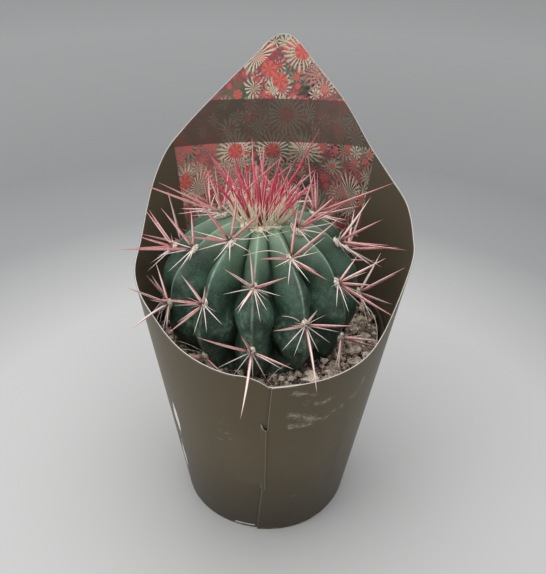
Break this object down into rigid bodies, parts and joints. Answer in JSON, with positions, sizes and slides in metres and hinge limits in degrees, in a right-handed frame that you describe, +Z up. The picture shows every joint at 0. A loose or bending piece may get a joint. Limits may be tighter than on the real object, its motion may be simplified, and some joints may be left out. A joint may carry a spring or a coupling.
{
  "type": "potted round cactus",
  "caption": "Round ribbed cactus with long reddish spines, in a nursery pot inside a tall sleeve of laminated card with a pointed back panel.",
  "frame": {"origin": "centre of the pot's base, on the surface it stands on", "axes": "+Z up, -Y towards the front, where the sleeve is low and has its seam"},
  "size_m": [0.1429, 0.1736, 0.2395],
  "materials": {
    "sleeve_card": "olive-brown printed card under a satin laminate, white at the cut edges",
    "pot_plastic": "moulded dark brown-black plastic, faintly ribbed and scuffed",
    "potting_soil": "loose mix of peat, bark, grit and pale pumice lumps",
    "stem_skin": "waxy blue-green skin, darker in the grooves and paler on the crests",
    "young_spines": "crimson young spines standing in cream wool",
    "spines": "pinkish-white spines, redder at the base, on cream felted pads"
  },
  "bodies": {
    "root": {"plant_sleeve": "sleeve_card", "nursery_pot": "pot_plastic", "potting_soil": "potting_soil", "cactus_stem": "stem_skin", "crown_tuft": "young_spines", "areole_01": "spines", "areole_02": "spines", "areole_03": "spines", "areole_04": "spines", "areole_05": "spines", "areole_06": "spines", "areole_07": "spines", "areole_08": "spines", "areole_09": "spines", "areole_10": "spines", "areole_11": "spines", "areole_12": "spines", "areole_13": "spines", "areole_14": "spines", "areole_15": "spines", "areole_16": "spines", "areole_17": "spines", "areole_18": "spines", "areole_19": "spines", "areole_20": "spines", "areole_21": "spines", "areole_22": "spines", "areole_23": "spines", "areole_24": "spines", "areole_25": "spines", "areole_26": "spines", "areole_27": "spines", "areole_28": "spines", "areole_29": "spines", "areole_30": "spines", "areole_31": "spines"}
  },
  "joints": []
}
